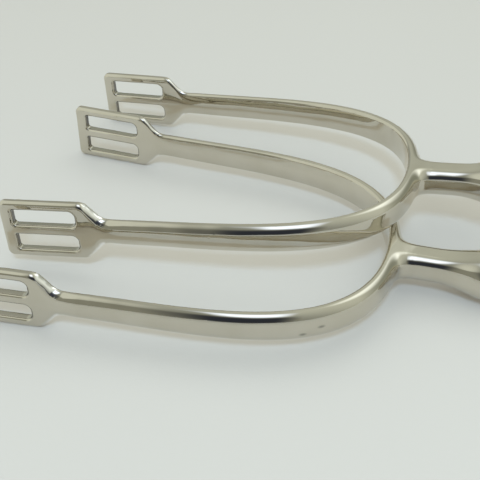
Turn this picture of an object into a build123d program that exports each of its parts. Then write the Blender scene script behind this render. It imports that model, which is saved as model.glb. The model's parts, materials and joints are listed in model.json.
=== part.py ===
from build123d import *
import os
from math import cos, pi, radians, sin

# A pair of polished English riding spurs, one lying flat and the other leaning on it.
# Each spur is one casting: a heel band whose two arms end in slotted strap keepers,
# and a neck that swells to a rounded end behind the heel.
# Millimetres, +Z up, the table top at z = 0, the origin under the middle of the pair.
# A spur's own frame: origin on the inner face of the heel band at the middle of the heel,
# +X backwards along the neck, the arms running towards -X, one each side of the XZ plane.

# Heel band, seen from above: the inner face is a cubic curve from the heel to the arm's root.
HEEL_DEPTH = 67.2        # heel to the start of the straight run, along X
ARM_HALF_GAP = 37.0      # centre plane to the inner face at the start of the straight run
ARM_SPLAY = 3.7          # degrees by which each arm opens towards its keeper
STRAIGHT_RUN = 36.9      # straight run, as far as the keeper's end
INNER_HANDLES = (37.2, 29.9)   # the cubic's handle lengths, at the heel and at the arm's root
OUTER_HANDLES = (42.0, 26.3)   # the same for the outer face

# Band section: flat inside, rounded outside, deeper and thicker at the heel.
HEEL_HEIGHT = 8.8
ARM_HEIGHT = 7.0
HEEL_THICKNESS = 3.9
ARM_THICKNESS = 3.4
ARM_END_THICKNESS = 2.1  # at the very end, which is buried in the keeper
THINNING_HANDLE = 5.0    # handle length of the curve that thins the arm's end
OUTER_ROUND = 2.4
INNER_ROUND = 0.7

# Strap keeper: a flat plate with two slots, one above the other.
KEEPER_HEIGHT = 17.2
KEEPER_THICKNESS = 2.7
KEEPER_ROOT = 1.0        # along the straight run, where the plate starts, inside the arm
SHOULDER_START = 8.0     # where the arm begins to widen
SHOULDER_END = 14.0      # where it has the keeper's full height
SHOULDER_HOLLOW = 4.0    # radius of the hollow corner of the shoulder
SHOULDER_ROUND = 2.2     # radius of the outer corner of the shoulder
KEEPER_CORNER = 1.8
KEEPER_EDGE = 0.7
SLOT_LENGTH = 18.0
SLOT_HEIGHT = 4.8
SLOT_CORNER = 1.5
SLOT_EDGE = 0.4
MIDDLE_BAR = 2.8
END_BAR = 3.15

# Neck: a horn that grows out of the band, a round waist, a swelling and a rounded tip.
ROOT_HOLLOW = 5.5        # radius of the hollow curve between band and neck, seen from above
ROOT_HEIGHT = 8.2        # height of the horn where it leaves the band
ROOT_ANGLE = 10.0        # degrees of the hollow curve that stay inside the band
WAIST_RADIUS = 4.25
WAIST_START = 8.5        # along X, where the hollow curve ends
WAIST_END = 12.0         # where the neck begins to swell
KNOB_RADIUS = 6.8
KNOB_AT = 28.5           # where the swelling is widest
SWELL_HANDLES = (7.5, 5.5)     # handle lengths of the swelling's curve
TIP_HANDLES = (4.2, 3.6)       # handle lengths of the tip's curve
NECK_LENGTH = 35.0       # heel's inner face to the tip
NECK_DROOP = 1.5         # degrees by which the neck dips below the band

# Lower spur: rests on its keepers and on the underside of its neck.
LOWER_POSITION = (33.78, -11.95, 7.82)
LOWER_PITCH = -0.55      # degrees, neck end down

# Upper spur: its near arm crosses over the lower spur's far arm beside the heel.
UPPER_POSITION = (35.28, 15.15, 16.3)
UPPER_YAW = 1.9
UPPER_PITCH = 3.42
UPPER_ROLL = -2.25


def arm_direction():
    """Unit vectors of the +Y arm's straight run: towards the keeper, and outwards."""
    a = radians(ARM_SPLAY)
    return Vector(-cos(a), sin(a)), Vector(sin(a), cos(a))


def along_arm(distance, offset=0.0):
    """A point of the +Y arm's straight run, offset outwards from its inner face."""
    forward, outward = arm_direction()
    return Vector(-HEEL_DEPTH, ARM_HALF_GAP) + forward * distance + outward * offset


def band_plan():
    """The band and its arms from above. Each arm thins towards its end."""
    root, root_out = along_arm(0), along_arm(0, ARM_THICKNESS)
    end, end_out = along_arm(SHOULDER_END), along_arm(SHOULDER_END, ARM_END_THICKNESS)
    forward, _ = arm_direction()
    heel, heel_out = Vector(0, 0), Vector(HEEL_THICKNESS, 0)
    inner = Bezier(heel, heel + Vector(0, INNER_HANDLES[0]), root - forward * INNER_HANDLES[1], root)
    outer = Bezier(
        heel_out, heel_out + Vector(0, OUTER_HANDLES[0]),
        root_out - forward * OUTER_HANDLES[1], root_out,
    )
    thinning = Bezier(
        root_out, root_out + forward * THINNING_HANDLE, end_out - forward * THINNING_HANDLE, end_out
    )
    half = Curve() + [inner, Line(root, end), Line(end, end_out), thinning, outer]
    return make_face(half + mirror(half, Plane.XZ))


def band():
    """The heel band with both arms, its depth tapering from the heel to the keepers."""
    arm_end, behind_heel = along_arm(SHOULDER_END).X - 1, HEEL_THICKNESS + 1
    low, high = ARM_HEIGHT / 2, HEEL_HEIGHT / 2
    side = Polyline(
        (arm_end, -low), (behind_heel, -high), (behind_heel, high), (arm_end, low), (arm_end, -low)
    )
    bar = extrude(band_plan(), amount=HEEL_HEIGHT, both=True)
    bar &= extrude(Plane.XZ * make_face(side), amount=2 * ARM_HALF_GAP, both=True)
    long_edges = bar.edges().sort_by(SortBy.LENGTH)[-6:]
    outside = [e for e in long_edges if e.bounding_box().max.X > HEEL_THICKNESS - 0.01]
    bar = fillet([e for e in outside if abs(e.center().Z) > 1], OUTER_ROUND)
    long_edges = bar.edges().sort_by(SortBy.LENGTH)[-9:]
    inside = [e for e in long_edges if e.bounding_box().max.X < 0.01 and abs(e.center().Z) > 1]
    return fillet(inside, INNER_ROUND)


def keeper_outline():
    """The keeper from the side, x along the arm's straight run."""
    arm, full = ARM_HEIGHT / 2 - 0.1, KEEPER_HEIGHT / 2
    corners = [
        (KEEPER_ROOT, arm), (SHOULDER_START, arm), (SHOULDER_END, full), (STRAIGHT_RUN, full)
    ]
    mirrored = [(x, -y) for x, y in reversed(corners)]
    face = make_face(Polyline(*corners, *mirrored, close=True))
    for x, radius in (
        (SHOULDER_START, SHOULDER_HOLLOW), (SHOULDER_END, SHOULDER_ROUND), (STRAIGHT_RUN, KEEPER_CORNER)
    ):
        face = fillet([v for v in face.vertices() if abs(v.X - x) < 0.01], radius)
    return face


def keeper():
    """The +Y strap keeper, a slotted plate whose flat side lies against the boot."""
    plate = extrude(keeper_outline(), amount=KEEPER_THICKNESS)
    plate = fillet(plate.faces().sort_by(Axis.Z)[-1].edges(), KEEPER_EDGE)
    plate = fillet(plate.faces().sort_by(Axis.Z)[0].edges(), KEEPER_EDGE)
    middle = STRAIGHT_RUN - END_BAR - SLOT_LENGTH / 2
    height = (MIDDLE_BAR + SLOT_HEIGHT) / 2
    for z in (-height, height):
        slot = extrude(RectangleRounded(SLOT_LENGTH, SLOT_HEIGHT, SLOT_CORNER), amount=KEEPER_THICKNESS)
        plate -= Pos(middle, z) * slot
    for side in (plate.faces().sort_by(Axis.Z)[-1], plate.faces().sort_by(Axis.Z)[0]):
        rims = [e for wire in side.inner_wires() for e in wire.edges()]
        plate = fillet(rims, SLOT_EDGE)
    forward, outward = arm_direction()
    return Plane(origin=along_arm(0), x_dir=forward, z_dir=outward) * plate


def neck_root():
    """The horn: ellipses along the hollow curve that joins the band to the round waist."""
    steps = 6
    first = radians(ROOT_ANGLE)
    sections = []
    for i in range(steps + 1):
        angle = first + (pi / 2 - first) * i / steps
        half_width = WAIST_RADIUS + ROOT_HOLLOW * (1 - sin(angle))
        half_height = ROOT_HEIGHT / 2 + (WAIST_RADIUS - ROOT_HEIGHT / 2) * i / steps
        station = Plane(
            origin=(WAIST_START - ROOT_HOLLOW * cos(angle), 0, 0), x_dir=(0, 1, 0), z_dir=(1, 0, 0)
        )
        sections.append(station * Ellipse(half_width, half_height))
    return loft(sections)


def neck_tail():
    """The waist, the swelling and the rounded tip, turned about X."""
    waist_end, knob = Vector(WAIST_END, WAIST_RADIUS), Vector(KNOB_AT, KNOB_RADIUS)
    tip = Vector(NECK_LENGTH, 0)
    profile = Curve() + [
        Line((WAIST_START, 0), (WAIST_START, WAIST_RADIUS)),
        Line((WAIST_START, WAIST_RADIUS), waist_end),
        Bezier(
            waist_end, waist_end + Vector(SWELL_HANDLES[0], 0),
            knob - Vector(SWELL_HANDLES[1], 0), knob,
        ),
        Bezier(knob, knob + Vector(TIP_HANDLES[0], 0), tip + Vector(0, TIP_HANDLES[1]), tip),
        Line(tip, (WAIST_START, 0)),
    ]
    return revolve(make_face(profile), Axis.X)


def spur():
    """One whole spur, a single solid in its own frame."""
    plate = keeper()
    neck = Rot(0, NECK_DROOP, 0) * (neck_root() + neck_tail())
    return band() + plate + mirror(plate, Plane.XZ) + neck


def placed(solid, position, yaw, pitch, roll):
    """The spur turned about its own axes, neck up for a positive pitch, then moved."""
    turn = Rot(0, 0, yaw) * Rot(0, -pitch, 0) * Rot(roll, 0, 0)
    return Pos(*position) * turn * solid


def main():
    one = spur()
    spurs = {
        "lower_spur": placed(one, LOWER_POSITION, 0, LOWER_PITCH, 0),
        "upper_spur": placed(one, UPPER_POSITION, UPPER_YAW, UPPER_PITCH, UPPER_ROLL),
    }
    os.makedirs("parts", exist_ok=True)
    for name, solid in spurs.items():
        export_step(solid, f"parts/{name}.step")


if __name__ == "__main__":
    main()
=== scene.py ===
"""A pair of polished steel riding spurs on a pale table, the upper one resting across the lower.

Each spur is one casting: a horseshoe band round the heel, a two-slot strap keeper on each arm
and a neck with a knob behind. Its surface is a signed distance built from nearly the same driving
dimensions as the CAD, with softer blends and edges, a slightly crowned inner face and a neck of
rounded square section. It is meshed once and laid where each CAD spur lies.
"""

import json
import math

import bpy
import numpy as np
from mathutils import Matrix, Vector


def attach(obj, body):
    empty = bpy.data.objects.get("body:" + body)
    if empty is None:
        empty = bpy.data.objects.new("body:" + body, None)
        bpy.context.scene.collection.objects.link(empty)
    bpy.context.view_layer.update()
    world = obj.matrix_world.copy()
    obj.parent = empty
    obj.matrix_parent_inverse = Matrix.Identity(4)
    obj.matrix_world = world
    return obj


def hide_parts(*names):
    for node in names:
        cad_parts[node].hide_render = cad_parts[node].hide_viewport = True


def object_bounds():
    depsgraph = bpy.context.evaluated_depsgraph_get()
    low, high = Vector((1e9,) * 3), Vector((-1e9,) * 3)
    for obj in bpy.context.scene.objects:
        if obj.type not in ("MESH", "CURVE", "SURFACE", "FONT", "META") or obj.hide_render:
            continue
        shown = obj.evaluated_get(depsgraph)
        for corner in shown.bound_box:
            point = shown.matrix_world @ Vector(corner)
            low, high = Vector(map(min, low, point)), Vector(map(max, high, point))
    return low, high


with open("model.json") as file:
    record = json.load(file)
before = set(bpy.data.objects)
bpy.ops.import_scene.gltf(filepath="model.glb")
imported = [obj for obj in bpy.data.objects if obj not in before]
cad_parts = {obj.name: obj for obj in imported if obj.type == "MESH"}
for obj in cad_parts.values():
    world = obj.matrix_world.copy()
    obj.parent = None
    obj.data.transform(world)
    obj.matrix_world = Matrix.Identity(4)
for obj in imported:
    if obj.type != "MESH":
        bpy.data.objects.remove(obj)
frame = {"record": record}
cad_low, cad_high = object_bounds()

MM = 0.001

# ---- driving dimensions of one spur, in millimetres, in its own frame: +X along the neck,
# the arms towards -X, the origin on the heel's inner face at mid-height
HEEL_DEPTH = 67.2
ARM_HALF_GAP = 37.0
ARM_SPLAY = math.radians(3.7)
STRAIGHT_RUN = 36.9
INNER_HANDLES = (37.2, 29.9)

HEEL_HEIGHT, ARM_HEIGHT = 8.8, 7.0
HEEL_THICKNESS, ARM_THICKNESS = 3.9, 3.4
OUTER_ROUND, INNER_ROUND = 2.4, 0.9
# how far the outer and inner faces fall away towards the band's edges, and the share of the half
# height at which that stops
BAND_CROWN, INNER_CROWN, CROWN_LIMIT = 0.35, 0.62, 1.1

KEEPER_HEIGHT, KEEPER_THICKNESS = 17.2, 2.7
SHOULDER_START, SHOULDER_END = 8.8, 13.7
SHOULDER_HOLLOW, SHOULDER_ROUND = 4.4, 3.4
THIN_FADE, ROUND_FADE = (3, 14), (8, 17)
KEEPER_CORNER, KEEPER_EDGE = 1.8, 1.1
SLOT_LENGTH, SLOT_HEIGHT, SLOT_EDGE = 17.4, 4.8, 0.75
SLOT_CORNER, SLOT_TIP_CORNER = 1.8, 0.8
MIDDLE_BAR, END_BAR = 2.8, 3.45

WAIST_HALF_WIDTH, WAIST_EXTRA_HEIGHT, WAIST_START, WAIST_END = 4.1, 0.05, 8.5, 13.0
KNOB_RADIUS, KNOB_AT, NECK_LENGTH = 6.8, 28.5, 35.0
SWELL_HANDLES = (8.0, 5.0)
NECK_RAISE, NECK_DROOP = -0.15, math.radians(1.5)
NECK_EDGE, NECK_BELLY, NECK_FILLET = 2.6, 3.6, 7.0
# where the neck begins to widen the band, and the distance that stands for no neck ahead of it
NECK_FRONT, NECK_ABSENT = -6, 14.0

# ---- sampling: the grid's cell, how far round the bar and the neck the grid is filled, and its
# room past the ends, sides and top, all in millimetres, and how many points are compared at a time
CELL = 0.33
BAR_ROOM, NECK_ROOM = 6, 12
END_ROOM, SIDE_ROOM, TOP_ROOM = 2, 7, 1
CHUNK = 20000

# ---- the plan curve that the band's inner face follows
FORWARD = np.array([-math.cos(ARM_SPLAY), math.sin(ARM_SPLAY)])
OUTWARD = np.array([math.sin(ARM_SPLAY), math.cos(ARM_SPLAY)])
ARM_ROOT = np.array([-HEEL_DEPTH, ARM_HALF_GAP])
CURVE = np.array([(0, 0), (0, INNER_HANDLES[0]), ARM_ROOT - FORWARD * INNER_HANDLES[1], ARM_ROOT])


def cubic(points, s):
    """Points of a cubic Bezier curve at s."""
    s = np.asarray(s)[..., None]
    t = 1 - s
    return t**3 * points[0] + 3 * t**2 * s * points[1] + 3 * t * s**2 * points[2] + s**3 * points[3]


def cubic_slope(points, s):
    """Its first derivative."""
    s = np.asarray(s)[..., None]
    leg = np.diff(points, axis=0) * 3
    return (1 - s) ** 2 * leg[0] + 2 * (1 - s) * s * leg[1] + s**2 * leg[2]


def cubic_bend(points, s):
    """Its second derivative."""
    s = np.asarray(s)[..., None]
    bend = np.diff(points, 2, axis=0) * 6
    return (1 - s) * bend[0] + s * bend[1]


CURVE_STEPS = np.linspace(0, 1, 201)
CURVE_POINTS = cubic(CURVE, CURVE_STEPS)
CURVE_RUN = np.concatenate([[0], np.cumsum(np.linalg.norm(np.diff(CURVE_POINTS, axis=0), axis=1))])


def nearest_step(xy):
    """The curve parameter of the table's point nearest to each point."""
    found = np.empty(len(xy))
    for i in range(0, len(xy), CHUNK):
        gap = xy[i : i + CHUNK, None] - CURVE_POINTS[None]
        found[i : i + CHUNK] = CURVE_STEPS[np.argmin((gap**2).sum(2), axis=1)]
    return found


def refine_step(xy, s, rounds):
    """Newton steps towards the curve's nearest point. least_change keeps them short."""
    least_change = 50.0
    for _ in range(rounds):
        gap, slope = cubic(CURVE, s) - xy, cubic_slope(CURVE, s)
        value = (gap * slope).sum(-1)
        change = (slope * slope).sum(-1) + (gap * cubic_bend(CURVE, s)).sum(-1)
        s = np.clip(s - value / np.maximum(change, least_change), 0, 1)
    return s


def plan(xy, s):
    """Where points lie beside the arm: distance along it, offset outwards from its inner face,
    x of the nearest point on the curve, and u, w along and across the straight run."""
    foot, slope = cubic(CURVE, s), cubic_slope(CURVE, s)
    slope /= np.linalg.norm(slope, axis=-1, keepdims=True)
    gap = xy - foot
    u, w = (xy - ARM_ROOT) @ FORWARD, (xy - ARM_ROOT) @ OUTWARD
    straight = u > 0
    along = np.where(straight, CURVE_RUN[-1] + u, np.interp(s, CURVE_STEPS, CURVE_RUN))
    offset = np.where(straight, w, gap[:, 0] * slope[:, 1] - gap[:, 1] * slope[:, 0])
    foot_x = np.where(straight, -HEEL_DEPTH + FORWARD[0] * u, foot[:, 0])
    return along, offset, foot_x, u, w


# ---- signed distances
def ease(low, high, x):
    """0 below low and 1 above high, with a smooth step between."""
    t = np.clip((x - low) / (high - low), 0, 1)
    return t * t * (3 - 2 * t)


def blend_min(a, b, width):
    """The smaller of two distances, with a smooth hollow of that width where they meet."""
    h = np.maximum(width - np.abs(a - b), 0) / width
    return np.minimum(a, b) - h**3 * width / 6


def rounded_corner(p, q, radius):
    """Distance to the corner where p < 0 meets q < 0, rounded."""
    p, q = p + radius, q + radius
    return np.minimum(np.maximum(p, q), 0) + np.hypot(np.maximum(p, 0), np.maximum(q, 0)) - radius


def keeper_half_height():
    """The keeper's outline as a table: u, half height and its slope, with the shoulder's two arcs."""
    low, high = ARM_HEIGHT / 2, KEEPER_HEIGHT / 2
    slope = math.atan2(high - low, SHOULDER_END - SHOULDER_START)
    turn = np.linspace(0, slope, 40)
    hollow_u = SHOULDER_START - SHOULDER_HOLLOW * math.tan(slope / 2) + SHOULDER_HOLLOW * np.sin(turn)
    hollow_h = low + SHOULDER_HOLLOW * (1 - np.cos(turn))
    round_u = SHOULDER_END + SHOULDER_ROUND * (math.tan(slope / 2) - np.sin(turn[::-1]))
    round_h = high - SHOULDER_ROUND * (1 - np.cos(turn[::-1]))
    u = np.linspace(-5, STRAIGHT_RUN + 5, 2401)
    h = np.interp(u, np.concatenate([hollow_u, round_u]), np.concatenate([hollow_h, round_h]))
    return u, h, np.gradient(h, u)


KEEPER_U, KEEPER_H, KEEPER_DH = keeper_half_height()
SLOT_U = STRAIGHT_RUN - END_BAR - SLOT_LENGTH / 2
SLOT_Z = (MIDDLE_BAR + SLOT_HEIGHT) / 2
PLATE_FADE = (SHOULDER_END - 1, SHOULDER_END + 1)


def outer_radius(u):
    """How round the outer edge is: like a half-round bar on the arm, and slight round the keeper."""
    return KEEPER_EDGE + (OUTER_ROUND - KEEPER_EDGE) * (1 - ease(*ROUND_FADE, u))


def neck_swell():
    """The neck's half width from its waist to its knob as a table: x, half width and its slope."""
    ends = [(WAIST_END, WAIST_HALF_WIDTH), (WAIST_END + SWELL_HANDLES[0], WAIST_HALF_WIDTH)]
    ends += [(KNOB_AT - SWELL_HANDLES[1], KNOB_RADIUS), (KNOB_AT, KNOB_RADIUS)]
    points = cubic(np.array(ends), np.linspace(0, 1, 400))
    x = np.linspace(-5, KNOB_AT, 1601)
    radius = np.interp(x, points[:, 0], points[:, 1])
    return x, radius, np.gradient(radius, x)


SWELL_X, SWELL_R, SWELL_DR = neck_swell()


def body(along, offset, foot_x, u, x, y, z):
    """The horseshoe band up to the shoulder, and the neck behind it. The band is slightly crowned
    inside, crowned and well rounded outside, and turns into the keeper's section little by
    little. In plan the neck grows out of it with wide hollows; its section goes from a rounded
    square to the round knob. Ahead of NECK_FRONT the neck doesn't widen the band."""
    thickness = HEEL_THICKNESS + (ARM_THICKNESS - HEEL_THICKNESS) * ease(0, CURVE_RUN[-1], along)
    thickness = thickness + (KEEPER_THICKNESS - ARM_THICKNESS) * ease(*THIN_FADE, u)
    reach = HEEL_DEPTH + STRAIGHT_RUN / 2
    half = (ARM_HEIGHT + (HEEL_HEIGHT - ARM_HEIGHT) * np.maximum(foot_x + reach, 0) / reach) / 2
    half = half + np.interp(u, KEEPER_U, KEEPER_H) - ARM_HEIGHT / 2
    steep = np.sqrt(1 + np.interp(u, KEEPER_U, KEEPER_DH) ** 2)
    on_band, level = 1 - ease(*THIN_FADE, u), np.minimum(np.abs(z) / half, CROWN_LIMIT) ** 2
    outward = np.clip(offset / thickness, 0, 1)
    offset = offset + on_band * level * (BAND_CROWN * outward - INNER_CROWN * (1 - outward))
    outer = outer_radius(u)

    width, slope = np.interp(x, SWELL_X, SWELL_R), np.interp(x, SWELL_X, SWELL_DR)
    on_neck, to_knob = ease(0, WAIST_START, x), ease(WAIST_END, KNOB_AT, x)
    half = half + (width + WAIST_EXTRA_HEIGHT * (1 - to_knob) - half) * on_neck
    z = z - (NECK_RAISE + (-math.sin(NECK_DROOP) * x - NECK_RAISE) * to_knob) * on_neck
    edge = np.where(z > 0, NECK_EDGE, NECK_BELLY)
    outer = outer + (edge + (width - edge) * to_knob - outer) * on_neck
    neck_side = np.where(x > NECK_FRONT, (y - width) / np.sqrt(1 + slope**2), NECK_ABSENT)

    middle = (thickness - outer + INNER_ROUND) / 2
    on_outside = (offset > middle) | (x > middle)
    side = np.where(on_outside, blend_min(offset - thickness, neck_side, NECK_FILLET), -offset)
    radius = np.where(on_outside, outer, INNER_ROUND)
    shape = rounded_corner(side, (np.abs(z) - half) / steep, radius)
    end = np.hypot(np.maximum(x - KNOB_AT, 0) / (NECK_LENGTH - KNOB_AT), np.hypot(y, z) / KNOB_RADIUS)
    return np.where(x > KNOB_AT, (end - 1) * (NECK_LENGTH - KNOB_AT), shape)


def slot_outline(u, z):
    """Distance to the nearer strap slot in the keeper's plane. Its corners are tighter at the tip."""
    corner = np.where(u > SLOT_U, SLOT_TIP_CORNER, SLOT_CORNER)
    along = np.abs(u - SLOT_U) - SLOT_LENGTH / 2
    across = np.abs(np.abs(z) - SLOT_Z) - SLOT_HEIGHT / 2
    return rounded_corner(along, across, corner)


def keeper(u, w, z):
    """The keeper plate with its rounded rim and two slots."""
    half, slope = np.interp(u, KEEPER_U, KEEPER_H), np.interp(u, KEEPER_U, KEEPER_DH)
    side = (np.abs(z) - half) / np.sqrt(1 + slope**2)
    outline = rounded_corner(side, u - STRAIGHT_RUN, KEEPER_CORNER)
    outer = outer_radius(u)
    on_outside = w > (KEEPER_THICKNESS - outer + KEEPER_EDGE) / 2
    face = np.where(on_outside, w - KEEPER_THICKNESS, -w)
    plate = rounded_corner(outline, face, np.where(on_outside, outer, KEEPER_EDGE))
    return np.maximum(plate, rounded_corner(-slot_outline(u, z), face, SLOT_EDGE))


def spur_distance(points, s):
    """Signed distance of the whole spur, which is the same on both sides of its middle plane."""
    x, z = points[:, 0], points[:, 2]
    y = np.abs(points[:, 1])
    along, offset, foot_x, u, w = plan(np.stack([x, y], 1), s)
    shape = body(along, offset, foot_x, u, x, y, z)
    on_keeper = u > PLATE_FADE[0]
    share = ease(*PLATE_FADE, u[on_keeper])
    plate = keeper(u[on_keeper], w[on_keeper], z[on_keeper])
    shape[on_keeper] += (plate - shape[on_keeper]) * share
    return shape


def distance_and_slope(points, s):
    """The distance, its slope, and the curve parameter brought up to date."""
    s = refine_step(np.stack([points[:, 0], np.abs(points[:, 1])], 1), s, 2)
    slope = np.empty_like(points)
    nudge = 0.01
    for axis in range(3):
        step = np.zeros(3)
        step[axis] = nudge
        change = spur_distance(points + step, s) - spur_distance(points - step, s)
        slope[:, axis] = change / (2 * nudge)
    return spur_distance(points, s), slope, s


# ---- meshing
def field_columns(x, y):
    """Which grid columns come near the spur in plan, with their points and curve parameters."""
    xy = np.stack(np.meshgrid(x, np.abs(y), indexing="ij"), 2).reshape(-1, 2)
    run = ARM_ROOT + np.linspace(0, STRAIGHT_RUN, 80)[:, None] * FORWARD
    spine = np.concatenate([CURVE_POINTS[::2], run])
    close = (xy[:, 0] > -1) & (xy[:, 1] < NECK_ROOM)
    for i in range(0, len(xy), CHUNK):
        gap = xy[i : i + CHUNK, None] - spine[None]
        close[i : i + CHUNK] |= (gap**2).sum(2).min(1) < BAR_ROOM**2
    found = np.flatnonzero(close)
    s = refine_step(xy[found], nearest_step(xy[found]), 3)
    _, offset, _, u, _ = plan(xy[found], s)
    margin = 3 * CELL
    keep = (offset > -margin) & (offset < HEEL_THICKNESS + margin) & (u < STRAIGHT_RUN + margin)
    keep |= (xy[found, 0] > 0) & (xy[found, 1] < NECK_ROOM - 1)
    return found[keep], xy[found][keep], s[keep]


def sample_field():
    """The distance on a grid, and the grid's three axes. In y and z the samples lie alike on both
    sides of the middle, so the mesh is as symmetric as the spur."""
    x = np.arange(-HEEL_DEPTH - STRAIGHT_RUN - END_ROOM, NECK_LENGTH + END_ROOM, CELL)
    side = math.ceil((ARM_HALF_GAP + SIDE_ROOM) / CELL)
    y = np.arange(-side, side + 1) * CELL
    level = math.ceil((KEEPER_HEIGHT / 2 + TOP_ROOM) / CELL)
    z = (np.arange(-level, level) + 0.5) * CELL
    found, xy, s = field_columns(x, y)
    values = np.ones((len(x) * len(y), len(z)), np.float32)
    for k, height in enumerate(z):
        values[found, k] = spur_distance(np.column_stack([xy, np.full(len(xy), height)]), s)
    return values.reshape(len(x), len(y), len(z)), (x, y, z)


def surface_nets(values, axes):
    """A quad mesh of the zero surface: one point in each cell that it passes through."""
    inside = values < 0
    cells = [n - 1 for n in values.shape]
    corners = [(i, j, k) for i in (0, 1) for j in (0, 1) for k in (0, 1)]
    filled = np.zeros(cells, np.int8)
    for i, j, k in corners:
        filled += inside[i : cells[0] + i, j : cells[1] + j, k : cells[2] + k]
    crossed = np.argwhere((filled > 0) & (filled < 8))
    number = np.full(cells, -1)
    number[tuple(crossed.T)] = np.arange(len(crossed))
    value = {c: values[tuple((crossed + c).T)].astype(float) for c in corners}
    total, hits = np.zeros((len(crossed), 3)), np.zeros(len(crossed))
    for a in corners:
        for axis in range(3):
            if a[axis]:
                continue
            b = tuple(1 if i == axis else n for i, n in enumerate(a))
            cross = (value[a] < 0) != (value[b] < 0)
            point = np.repeat([np.array(a, float)], len(crossed), 0)
            point[:, axis] = np.where(cross, value[a] / np.where(cross, value[a] - value[b], 1), 0)
            total += point * cross[:, None]
            hits += cross
    origin = np.array([a[0] for a in axes])
    points = origin + (crossed + total / hits[:, None]) * CELL
    faces = []
    for axis in range(3):
        before, after = [slice(None)] * 3, [slice(None)] * 3
        before[axis], after[axis] = slice(0, -1), slice(1, None)
        low, high = inside[tuple(before)], inside[tuple(after)]
        edges = np.argwhere(low != high)
        entering = high[tuple(edges.T)]
        ring = []
        for db, dc in ((-1, -1), (0, -1), (0, 0), (-1, 0)):
            cell = edges.copy()
            cell[:, (axis + 1) % 3] += db
            cell[:, (axis + 2) % 3] += dc
            ring.append(number[tuple(cell.T)])
        ring = np.stack(ring, 1)
        ring[entering] = ring[entering][:, ::-1]
        faces.append(ring)
    return points, np.concatenate(faces)


def relax(points, faces):
    """Slides points along the surface to even the quads, and puts them exactly on it. The last
    rounds only put them on the surface."""
    rounds, last_rounds, pull, least_size = 7, 3, 0.6, 0.05
    xy = np.stack([points[:, 0], np.abs(points[:, 1])], 1)
    s = refine_step(xy, nearest_step(xy), 3)
    edges = np.concatenate([faces[:, [i, (i + 1) % 4]] for i in range(4)])
    edges = np.unique(np.sort(edges, axis=1), axis=0)
    count = np.bincount(edges.ravel(), minlength=len(points))[:, None]
    for turn in range(rounds):
        value, slope, s = distance_and_slope(points, s)
        size = np.maximum((slope**2).sum(1), least_size)
        points = points + slope * np.clip(-value / size, -CELL, CELL)[:, None]
        if turn < rounds - last_rounds:
            mean = np.zeros_like(points)
            for a, b in ((0, 1), (1, 0)):
                for axis in range(3):
                    mean[:, axis] += np.bincount(edges[:, a], points[edges[:, b], axis], len(points))
            move = mean / count - points
            normal = slope / np.sqrt(size)[:, None]
            points = points + pull * (move - normal * (move * normal).sum(1)[:, None])
    _, slope, s = distance_and_slope(points, s)
    return points, slope / np.linalg.norm(slope, axis=1)[:, None], s


# ---- what the steel's material reads from the surface, in millimetres and shares of a normal
RECESS_REACH = 3.5
SLOT_WALL_FADE = (0.3, 0.9)
SLOPE_START, SLOPE_END = (8.3, 9.1), (13.1, 13.9)
SLOPE_TILT = (0.25, 0.6)


def surface_facts(points, normals, s):
    """For each point: its place along, across and up the bar, how deep in a hollow it lies,
    whether it is on a slot's wall, whether that wall is a slot's end, and whether it is on the
    sloping edge of a keeper's shoulder."""
    xy = np.stack([points[:, 0], np.abs(points[:, 1])], 1)
    along, offset, _, u, _ = plan(xy, s)
    on_neck = ease(HEEL_THICKNESS, WAIST_START, points[:, 0])[:, None]
    bar_place = np.column_stack([along * np.sign(points[:, 1]), offset, points[:, 2]])
    place = bar_place + (points - bar_place) * on_neck
    reached = points + normals * RECESS_REACH
    reached_xy = np.stack([reached[:, 0], np.abs(reached[:, 1])], 1)
    open_room = spur_distance(reached, refine_step(reached_xy, nearest_step(reached_xy), 3))
    recess = np.clip(1 - open_room / RECESS_REACH, 0, 1)
    wall = 1 - ease(*SLOT_WALL_FADE, np.abs(slot_outline(u, points[:, 2])))
    level = np.abs(normals[:, 2])
    slope = (ease(*SLOPE_START, u) - ease(*SLOPE_END, u)) * ease(*SLOPE_TILT, level)
    return {
        "bar_place": place * MM,
        "recess": recess,
        "slot_wall": wall,
        "slot_end": wall * (1 - level),
        "shoulder_slope": slope,
    }


def make_spur():
    """One spur's mesh in its own frame, which both spurs use."""
    values, axes = sample_field()
    points, faces = surface_nets(values, axes)
    points, normals, s = relax(points, faces)
    facts = surface_facts(points, normals, s)
    return {"points": points, "faces": faces, "normals": normals, "facts": facts}


# ---- placing: how far along the arm's straight run the CAD has its mount on the inner face
FACE_MOUNT_U = 12.5


def keeper_point(side, u, w):
    """A point beside a keeper in the spur's own frame, in metres. side is -1 near, 1 far."""
    flat = ARM_ROOT + FORWARD * u + OUTWARD * w
    return np.array([flat[0], side * flat[1], 0.0]) * MM


def spur_pose(name):
    """The rotation and shift that lay a spur's own frame on that CAD spur, from its four mounts."""
    mounts = {m["name"]: m["pos_m"] for m in frame["record"]["mounts"]}
    own, laid = [], []
    for side, word in ((-1, "near"), (1, "far")):
        own.append(keeper_point(side, FACE_MOUNT_U, 0))
        laid.append(mounts[f"{name}_{word}_keeper_inner_face"])
        own.append(keeper_point(side, SLOT_U, KEEPER_THICKNESS / 2))
        laid.append(mounts[f"{name}_{word}_strap_slots"])
    own, laid = np.array(own), np.array(laid)
    middle_own, middle_laid = own.mean(0), laid.mean(0)
    u, _, vt = np.linalg.svd((own - middle_own).T @ (laid - middle_laid))
    flip = np.diag([1, 1, np.sign(np.linalg.det(u @ vt))])
    turn = (u @ flip @ vt).T
    return turn, middle_laid - turn @ middle_own


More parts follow.
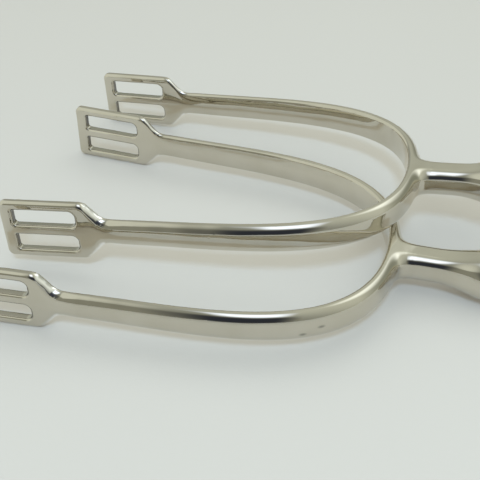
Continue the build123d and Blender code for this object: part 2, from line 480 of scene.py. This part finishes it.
def lay_spur(spur, name):
    """One spur's mesh in the row frame, standing for the CAD spur and moving with its body."""
    turn, shift = spur_pose(name.split("_")[0])
    mesh = bpy.data.meshes.new(name + "_casting")
    world = spur["points"] * MM @ turn.T + shift
    mesh.from_pydata(world.tolist(), [], spur["faces"].tolist())
    mesh.polygons.foreach_set("use_smooth", np.ones(len(spur["faces"]), bool))
    for fact, values in spur["facts"].items():
        kind, field = ("FLOAT_VECTOR", "vector") if values.ndim == 2 else ("FLOAT", "value")
        attribute = mesh.attributes.new(fact, kind, "POINT")
        attribute.data.foreach_set(field, values.astype(np.float32).ravel())
    mesh.normals_split_custom_set_from_vertices((spur["normals"] @ turn.T).tolist())
    mesh.validate()
    obj = bpy.data.objects.new(name + "_casting", mesh)
    bpy.context.scene.collection.objects.link(obj)
    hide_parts(name)
    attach(obj, name)
    return obj


# ---- materials
class Nodes:
    """Short calls for building a node material."""

    def __init__(self, owner):
        owner.use_nodes = True
        self.tree = owner.node_tree
        self.tree.nodes.clear()

    def add(self, kind, inputs=(), **settings):
        node = self.tree.nodes.new(kind)
        for key, value in settings.items():
            setattr(node, key, value)
        for socket, value in dict(inputs).items():
            if isinstance(value, bpy.types.NodeSocket):
                self.tree.links.new(value, node.inputs[socket])
            else:
                node.inputs[socket].default_value = value
        return node

    def noise(self, vector, scale, detail=2.0, roughness=0.5):
        inputs = {"Vector": vector, "Scale": scale, "Detail": detail, "Roughness": roughness}
        return self.add("ShaderNodeTexNoise", inputs).outputs["Fac"]

    def fact(self, name):
        return self.add("ShaderNodeAttribute", attribute_name=name).outputs["Fac"]

    def stretch(self, vector, scale, shift=(0, 0, 0)):
        inputs = {"Vector": vector, "Scale": scale, "Location": shift}
        return self.add("ShaderNodeMapping", inputs).outputs["Vector"]

    def to_range(self, value, low, high, from_low=0.0, from_high=1.0):
        inputs = {"Value": value, "From Min": from_low, "From Max": from_high}
        inputs.update({"To Min": low, "To Max": high})
        return self.add("ShaderNodeMapRange", inputs).outputs["Result"]

    def smooth(self, value, from_low, from_high):
        inputs = {"Value": value, "From Min": from_low, "From Max": from_high}
        node = self.add("ShaderNodeMapRange", inputs, interpolation_type="SMOOTHSTEP")
        return node.outputs["Result"]

    def math(self, operation, a, b):
        return self.add("ShaderNodeMath", {0: a, 1: b}, operation=operation).outputs[0]

    def mix_color(self, factor, a, b):
        node = self.add("ShaderNodeMix", data_type="RGBA")
        for index, value in ((0, factor), (6, a), (7, b)):
            if isinstance(value, bpy.types.NodeSocket):
                self.tree.links.new(value, node.inputs[index])
            else:
                node.inputs[index].default_value = value
        return node.outputs[2]


# Colours of the steel: two tones of the open surface, painted shade in hollows, a painted highlight on
# the shoulder slopes, painted shade on slot walls and slot ends, and small spots.
STEEL_TONES = (0.64, 0.603, 0.52, 1), (0.60, 0.563, 0.475, 1)
HOLLOW_SHADE_TONE = (0.42, 0.39, 0.34, 1)
SLOPE_HIGHLIGHT_TONE = (0.99, 0.97, 0.94, 1)
SLOT_WALL_SHADE_TONE, SLOT_END_SHADE_TONE = (0.42, 0.41, 0.35, 1), (0.17, 0.16, 0.15, 1)
SPOT_TONE = (0.22, 0.21, 0.18, 1)
BUMP_DEPTH = 0.0004

# Half sizes of a spot, and the places of the lower spur's two, along, across and up the bar.
SPOT_SIZE = (1.1, 2.0, 0.6)
LOWER_SPOTS = ((-36.1, 3.7, -1.7), (-31.9, 3.7, -0.1))


def dull_spots(n, place, spots):
    """1 in the middle of each spot, fading to 0 at its edge."""
    spot = 0.0
    for at in spots:
        apart = n.stretch(place, (1, 1, 1), [-value * MM for value in at])
        size = [1 / (value * MM) for value in SPOT_SIZE]
        apart = n.add("ShaderNodeVectorMath", {0: n.stretch(apart, size)}, operation="LENGTH")
        spot = n.math("ADD", spot, n.to_range(apart.outputs["Value"], 1.0, 0.0, 0.3, 1.0))
    return spot


def polished_steel(name, seed, spots=()):
    """Mirror-polished cast stainless steel: waves left by the buffing wheel, faint marks along
    the bar, shoulder slopes with slight facets and a painted highlight that brightens them to near
    white, painted shade on the slot walls and ends that is strongest where they are seen from the
    side, hollows that are rougher and painted with shade, tiny casting pits and a few small darker,
    rougher spots, given by their places along, across and up the bar in millimetres."""
    material = bpy.data.materials.new(name)
    n = Nodes(material)
    place = n.add("ShaderNodeAttribute", attribute_name="bar_place").outputs["Vector"]
    facing = n.add("ShaderNodeLayerWeight", {"Blend": 0.5}).outputs["Facing"]
    # how much the slot walls' and ends' painted shade shows: more where they are seen edge-on
    turned_away = n.to_range(facing, 0, 1, 0.35, 0.55)
    wall = n.math("MULTIPLY", n.fact("slot_wall"), turned_away)
    end = n.math("MULTIPLY", n.fact("slot_end"), turned_away)
    slope = n.fact("shoulder_slope")
    spot = dull_spots(n, place, spots)
    place = n.stretch(place, (1, 1, 1), (seed, 0, 0))
    cloud = n.noise(place, 90.0, 3.0)
    marks = n.noise(n.stretch(place, (60, 2500, 2500)), 1.0, 2.0)
    waves = n.noise(n.stretch(place, (0.5, 1, 1)), 130.0, 1.0)
    pits = n.noise(place, 700.0, 1.0)

    # painted shade in hollows: the deeper a point lies in a hollow, the darker its colour; the same
    # share also makes it rougher
    hollow_shade_and_dullness = n.to_range(n.fact("recess"), 0.0, 1.0, 0.1, 0.7)
    tone = n.mix_color(n.to_range(cloud, 0, 1, 0.35, 0.65), *STEEL_TONES)
    color = n.mix_color(n.math("MULTIPLY", hollow_shade_and_dullness, 0.5), tone, HOLLOW_SHADE_TONE)
    # painted highlight: the shoulder slopes are brightened towards near white
    color = n.mix_color(slope, color, SLOPE_HIGHLIGHT_TONE)
    # painted shade: slot walls and slot ends darkened in colour
    color = n.mix_color(n.math("MULTIPLY", wall, n.to_range(cloud, 0.7, 1.0)), color, SLOT_WALL_SHADE_TONE)
    color = n.mix_color(end, color, SLOT_END_SHADE_TONE)
    color = n.mix_color(n.math("MULTIPLY", spot, 0.75), color, SPOT_TONE)
    rough = n.math("ADD", n.to_range(cloud, 0.03, 0.06), n.to_range(marks, -0.01, 0.02))
    rough = n.math("ADD", rough, n.math("MULTIPLY", hollow_shade_and_dullness, 0.10))
    rough = n.math("ADD", rough, n.math("MULTIPLY", n.math("ADD", wall, spot), 0.12))

    facets = n.math("MULTIPLY", n.to_range(n.noise(place, 420.0, 0.0), -0.4, 0.4), slope)
    height = n.math("ADD", n.math("MULTIPLY", waves, 0.6), n.math("MULTIPLY", marks, 0.002))
    height = n.math("ADD", height, facets)
    height = n.math("ADD", height, n.math("MULTIPLY", n.to_range(pits, -1, 0, 0.22, 0.27), 0.01))
    bump = n.add("ShaderNodeBump", {"Height": height, "Distance": BUMP_DEPTH, "Strength": 1.0})
    inputs = {"Base Color": color, "Roughness": rough, "Metallic": 1.0}
    inputs["Normal"] = bump.outputs["Normal"]
    shader = n.add("ShaderNodeBsdfPrincipled", inputs)
    n.add("ShaderNodeOutputMaterial", {"Surface": shader.outputs["BSDF"]})
    return material


def table_top():
    """Pale, slightly glossy laminate."""
    material = bpy.data.materials.new("table_laminate")
    n = Nodes(material)
    place = n.add("ShaderNodeTexCoord").outputs["Object"]
    cloud = n.noise(place, 6.0, 2.0)
    color = n.mix_color(cloud, (0.41, 0.42, 0.41, 1), (0.42, 0.43, 0.42, 1))
    bump = n.add("ShaderNodeBump", {"Height": n.noise(place, 900.0, 1.0), "Distance": 0.00002})
    inputs = {"Base Color": color, "Roughness": n.to_range(cloud, 0.3, 0.36)}
    inputs["Normal"] = bump.outputs["Normal"]
    shader = n.add("ShaderNodeBsdfPrincipled", inputs)
    n.add("ShaderNodeOutputMaterial", {"Surface": shader.outputs["BSDF"]})
    return material


# ---- the stage
CAMERA_AZIMUTH = math.radians(15.06)
CAMERA_ELEVATION = math.radians(37.39)
CAMERA_ROLL = math.radians(0.49)
CAMERA_DISTANCE = 0.2434
CAMERA_AIM = Vector((-0.0051, -0.0144, -0.0040))
CAMERA_LENS = 67.36
SENSOR = 36.0
TABLE_HALF = 3.0


def make_camera(middle):
    """The camera at the photo's angle, aimed a little left, in front and below the middle."""
    data = bpy.data.cameras.new("camera")
    data.lens, data.sensor_width = CAMERA_LENS, SENSOR
    data.clip_start, data.clip_end = 0.01, 20
    camera = bpy.data.objects.new("camera", data)
    level = math.cos(CAMERA_ELEVATION)
    back = Vector(
        (math.sin(CAMERA_AZIMUTH) * level, -math.cos(CAMERA_AZIMUTH) * level, math.sin(CAMERA_ELEVATION))
    )
    turn = (-back).to_track_quat("-Z", "Y").to_matrix() @ Matrix.Rotation(-CAMERA_ROLL, 3, "Z")
    place = middle + CAMERA_AIM + back * CAMERA_DISTANCE
    camera.matrix_world = Matrix.Translation(place) @ turn.to_4x4()
    bpy.context.scene.collection.objects.link(camera)
    bpy.context.scene.camera = camera


def square(name, half, material):
    """A flat square in its own plane, with the half side given."""
    mesh = bpy.data.meshes.new(name)
    corners = [(-half, -half, 0), (half, -half, 0), (half, half, 0), (-half, half, 0)]
    mesh.from_pydata(corners, [], [(0, 1, 2, 3)])
    mesh.materials.append(material)
    obj = bpy.data.objects.new(name, mesh)
    bpy.context.scene.collection.objects.link(obj)
    return obj


def make_floor():
    """The table top at z = 0, wide enough to fill the view."""
    square("table", TABLE_HALF, table_top())


def direction(azimuth, elevation):
    """A unit direction away from the object. Azimuth 0 is the near side, -Y, and 90 is +X."""
    a, e = math.radians(azimuth), math.radians(elevation)
    return Vector((math.sin(a) * math.cos(e), -math.cos(a) * math.cos(e), math.sin(e)))


def outlook(azimuth, elevation, distance):
    """The step from the object's middle to a place that far away in that direction."""
    return direction(azimuth, elevation) * distance


# Broad soft areas of the studio round the table: azimuth, elevation, inner and outer angle, colour.
ROOM = (0.34, 0.36, 0.325, 1)
ROOM_AREAS = (
    (129, 27, 4, 90, (0.74, 0.78, 0.69, 1)),
    (-81, 20, 50, 60, (0.81, 0.85, 0.77, 1)),
    (5, 20, 29, 33, (0.32, 0.33, 0.28, 1)),
    (142, 41, 1, 30, (1.71, 1.82, 1.78, 1)),
    (141, 1, 12, 57, (0.32, 0.34, 0.28, 1)),
)


def make_world():
    """The room: one pale colour with broad soft areas, brighter on the left and behind."""
    world = bpy.data.worlds.new("studio")
    bpy.context.scene.world = world
    n = Nodes(world)
    ray = n.add("ShaderNodeTexCoord").outputs["Generated"]
    color = ROOM
    for azimuth, elevation, inner, outer, tint in ROOM_AREAS:
        inputs = {0: ray, 1: direction(azimuth, elevation)}
        aim = n.add("ShaderNodeVectorMath", inputs, operation="DOT_PRODUCT").outputs["Value"]
        near, far = math.cos(math.radians(inner)), math.cos(math.radians(outer))
        color = n.mix_color(n.smooth(aim, far, near), color, tint)
    background = n.add("ShaderNodeBackground", {"Color": color, "Strength": 1.0})
    n.add("ShaderNodeOutputWorld", {"Surface": background.outputs["Background"]})


def glow(name, color, strength, edge):
    """A light or dark panel's material, which fades out towards the panel's sides. edge is the
    share of a half side that fades, in width and in height."""
    material = bpy.data.materials.new(name)
    n = Nodes(material)
    place = n.add("ShaderNodeTexCoord").outputs["Object"]
    apart = n.add("ShaderNodeVectorMath", {0: place}, operation="ABSOLUTE").outputs["Vector"]
    x, y, _ = n.add("ShaderNodeSeparateXYZ", {"Vector": apart}).outputs
    share = n.math("MULTIPLY", n.smooth(x, 1.0, 1.0 - edge[0]), n.smooth(y, 1.0, 1.0 - edge[1]))
    emission = n.add("ShaderNodeEmission", {"Color": color, "Strength": strength})
    clear = n.add("ShaderNodeBsdfTransparent")
    mix = n.add("ShaderNodeMixShader", {0: share, 1: clear.outputs[0], 2: emission.outputs[0]})
    n.add("ShaderNodeOutputMaterial", {"Surface": mix.outputs[0]})
    return material


def look_from(place, aim):
    """The matrix of something at place that looks at aim along its own -Z."""
    turn = (Vector(aim) - Vector(place)).to_track_quat("-Z", "Y").to_matrix().to_4x4()
    return Matrix.Translation(place) @ turn


def panel(name, place, aim, size, material):
    """A flat stage panel facing aim, which only reflections show."""
    card = square(name, 1, material)
    card.matrix_world = look_from(place, aim) @ Matrix.Diagonal((size[0] / 2, size[1] / 2, 1, 1))
    card.visible_camera = False
    card.visible_shadow = False
    card.visible_diffuse = False


def lamp(name, place, aim, size, power, tint):
    """A square lamp facing aim, left out of reflections."""
    data = bpy.data.lights.new(name, "AREA")
    data.size = size
    data.energy, data.color = power, tint
    light = bpy.data.objects.new(name, data)
    light.matrix_world = look_from(place, aim)
    light.visible_glossy = False
    bpy.context.scene.collection.objects.link(light)
    return light


# The two panels: azimuth, elevation and distance, width and height, colour, strength and fading
# edges. The dark one is the nearer, so it hides part of the light one.
SOFT_LIGHT_AT, SOFT_LIGHT_SIZE = (18, 73, 1.4), (0.73, 1.68)
SOFT_LIGHT_GLOW = (0.74, 0.83, 1.0, 1), 2.35, (0.72, 0.80)
DARK_FIGURE_AT, DARK_FIGURE_SIZE = (11, 22, 0.88), (0.86, 1.25)
DARK_FIGURE_GLOW = (0.035, 0.04, 0.055, 1), 1.0, (0.62, 0.72)

# The two lamps: place from the object's middle, side, power in watts and tint.
KEY_AT, KEY_SIDE = (12, 55, 1.2), 0.2
KEY_POWER, KEY_TINT = 5.6, (0.735, 1.0, 1.345)
CEILING_HEIGHT, CEILING_SIDE = 2, 6.0
CEILING_POWER, CEILING_TINT = 110.0, (1.0, 0.893, 0.753)


def make_lights(middle):
    """A small cool lamp in front and the wide warm ceiling light the table. The steel mirrors a
    large soft light above the camera and the dark shape of whoever stands behind it."""
    light = glow("soft_light", *SOFT_LIGHT_GLOW)
    panel("soft_light", middle + outlook(*SOFT_LIGHT_AT), middle, SOFT_LIGHT_SIZE, light)
    dark = glow("dark_figure", *DARK_FIGURE_GLOW)
    panel("dark_figure", middle + outlook(*DARK_FIGURE_AT), middle, DARK_FIGURE_SIZE, dark)
    lamp("key_lamp", middle + outlook(*KEY_AT), middle, KEY_SIDE, KEY_POWER, KEY_TINT)
    above = middle + Vector((0, 0, CEILING_HEIGHT))
    ceiling = lamp("ceiling", above, middle, CEILING_SIDE, CEILING_POWER, CEILING_TINT)
    ceiling.data.use_shadow = False


def main():
    """Both spurs, each with its own steel, and the stage."""
    spur = make_spur()
    lower, upper = lay_spur(spur, "lower_spur"), lay_spur(spur, "upper_spur")
    lower.data.materials.append(polished_steel("polished_steel_lower", 0.0, LOWER_SPOTS))
    upper.data.materials.append(polished_steel("polished_steel_upper", 0.37))
    middle = (cad_low + cad_high) / 2
    make_camera(middle)
    make_floor()
    make_world()
    make_lights(middle)
    bpy.context.scene.view_settings.view_transform = "Standard"


main()
